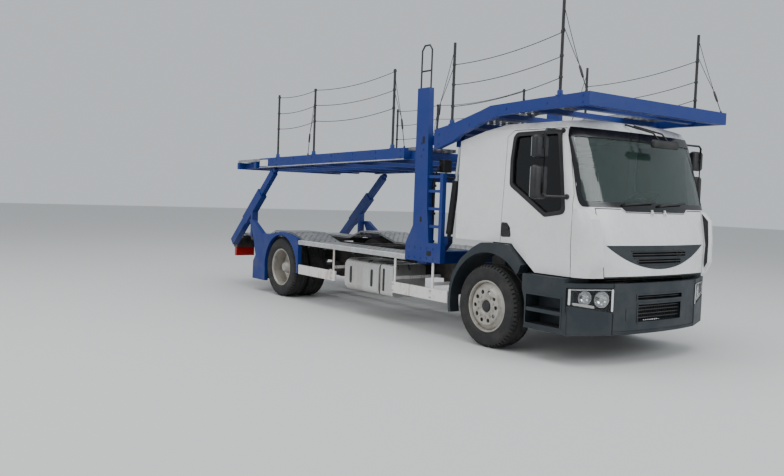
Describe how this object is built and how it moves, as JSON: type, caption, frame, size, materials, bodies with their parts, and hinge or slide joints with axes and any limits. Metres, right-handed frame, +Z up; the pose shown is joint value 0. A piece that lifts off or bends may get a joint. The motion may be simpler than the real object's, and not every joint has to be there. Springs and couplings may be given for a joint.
{
  "type": "car transporter truck",
  "caption": "Rigid two-axle truck with a short white cab, blue side posts, an over-cab deck, a tilting main deck on telescopic arms and a lower deck for cars.",
  "frame": {"origin": "on the ground under the middle of the truck's bounding box", "axes": "+X towards the cab's front, +Y to the truck's left, +Z up"},
  "size_m": [8.37, 3.02, 3.79],
  "materials": {
    "white_paint": "satin",
    "blue_paint": "satin",
    "dark_plastic": "matte",
    "black_steel": "satin",
    "galvanised": "matte",
    "aluminium": "brushed",
    "white_boards": "satin",
    "tyre": "matte",
    "rim_grey": "satin",
    "glass": "gloss",
    "lamp_clear": "gloss",
    "lamp_red": "gloss",
    "engine_grey": "matte",
    "cab_trim": "matte",
    "seat_cloth": "matte"
  },
  "bodies": {
    "chassis": {"chassis_frame": "black_steel", "driveline": "engine_grey", "front_axle": "black_steel", "rear_axle": "black_steel", "fuel_tanks": "aluminium", "chassis_boxes": "black_steel", "lower_deck": "galvanised", "side_guards": "white_boards", "deck_posts": "blue_paint", "post_hoop": "black_steel", "rear_supports": "blue_paint", "tail_frame": "black_steel", "tail_lamps": "lamp_red", "cab_shell": "white_paint", "windscreen": "glass", "cab_interior": "cab_trim", "steering_wheel": "cab_trim", "seats": "seat_cloth", "bumper": "dark_plastic", "headlamps": "lamp_clear", "cab_steps": "dark_plastic", "front_arches": "dark_plastic", "wipers": "black_steel", "front_mirror": "dark_plastic"},
    "door_right": {"door_right": "white_paint", "door_glass_right": "glass", "mirror_right": "dark_plastic"},
    "door_left": {"door_left": "white_paint", "door_glass_left": "glass", "mirror_left": "dark_plastic"},
    "front_flap": {"front_flap": "white_paint", "front_grille": "dark_plastic"},
    "over_cab_deck": {"cab_deck": "blue_paint", "cab_runways": "galvanised", "cab_stakes": "black_steel"},
    "main_deck": {"main_deck": "blue_paint", "main_runways": "galvanised", "main_stakes": "black_steel"},
    "deck_arms": {"deck_arms": "blue_paint"},
    "lift_barrels": {"lift_barrels": "black_steel"},
    "lift_rods": {"lift_rods": "aluminium"},
    "knuckle_right": {"knuckle_right": "black_steel"},
    "knuckle_left": {"knuckle_left": "black_steel"},
    "wheel_front_right": {"front_tyre_right": "tyre", "front_rim_right": "rim_grey"},
    "wheel_front_left": {"front_tyre_left": "tyre", "front_rim_left": "rim_grey"},
    "wheels_rear_right": {"rear_tyres_right": "tyre", "rear_rims_right": "rim_grey"},
    "wheels_rear_left": {"rear_tyres_left": "tyre", "rear_rims_left": "rim_grey"}
  },
  "joints": [
    {"name": "steer_right", "type": "hinge", "parent": "chassis", "child": "knuckle_right", "pos_m": [2.715, -0.93, 0.476], "axis": [0, 0, 1], "range_deg": [-38, 38]},
    {"name": "steer_left", "type": "hinge", "parent": "chassis", "child": "knuckle_left", "pos_m": [2.715, 0.93, 0.476], "axis": [0, 0, 1], "range_deg": [-38, 38]},
    {"name": "spin_front_right", "type": "hinge", "parent": "knuckle_right", "child": "wheel_front_right", "pos_m": [2.715, -1.08, 0.476], "axis": [0, 1, 0], "continuous": true},
    {"name": "spin_front_left", "type": "hinge", "parent": "knuckle_left", "child": "wheel_front_left", "pos_m": [2.715, 1.08, 0.476], "axis": [0, 1, 0], "continuous": true},
    {"name": "spin_rear_right", "type": "hinge", "parent": "chassis", "child": "wheels_rear_right", "pos_m": [-2.135, -0.93, 0.476], "axis": [0, 1, 0], "continuous": true},
    {"name": "spin_rear_left", "type": "hinge", "parent": "chassis", "child": "wheels_rear_left", "pos_m": [-2.135, 0.93, 0.476], "axis": [0, 1, 0], "continuous": true},
    {"name": "door_right_swing", "type": "hinge", "parent": "chassis", "child": "door_right", "pos_m": [3.87, -1.158, 1.7], "axis": [0, 0, 1], "range_deg": [0, 70]},
    {"name": "door_left_swing", "type": "hinge", "parent": "chassis", "child": "door_left", "pos_m": [3.87, 1.158, 1.7], "axis": [0, 0, -1], "range_deg": [0, 70]},
    {"name": "flap_lift", "type": "hinge", "parent": "chassis", "child": "front_flap", "pos_m": [4.093, 0, 1.621], "axis": [0, -1, 0], "range_deg": [0, 70]},
    {"name": "over_cab_deck_tilt", "type": "hinge", "parent": "chassis", "child": "over_cab_deck", "pos_m": [1.615, 0, 2.42], "axis": [0, -1, 0], "range_deg": [0, 10]},
    {"name": "main_deck_tilt", "type": "hinge", "parent": "chassis", "child": "main_deck", "pos_m": [1.255, 0, 2.24], "axis": [0, 1, 0], "range_deg": [0, 5]},
    {"name": "deck_arm_slide", "type": "slide", "parent": "chassis", "child": "deck_arms", "axis": [0.7501, 0, 0.6613], "range_m": [0, 0.4705]},
    {"name": "lift_barrel_swing", "type": "hinge", "parent": "chassis", "child": "lift_barrels", "pos_m": [1.755, 0, 1.18], "axis": [0, -1, 0], "range_deg": [0, 0.14]},
    {"name": "lift_rod_slide", "type": "slide", "parent": "lift_barrels", "child": "lift_rods", "axis": [0.1333, 0, 0.9911], "range_m": [0, 0.053]}
  ],
  "couplings": [
    {"joint": "steer_left", "follows": "steer_right", "ratio": 1},
    {"joint": "deck_arm_slide", "follows": "main_deck_tilt", "m_per_rad": 5.388},
    {"joint": "lift_barrel_swing", "follows": "over_cab_deck_tilt", "ratio": 0.0135},
    {"joint": "lift_rod_slide", "follows": "over_cab_deck_tilt", "m_per_rad": 0.303}
  ]
}
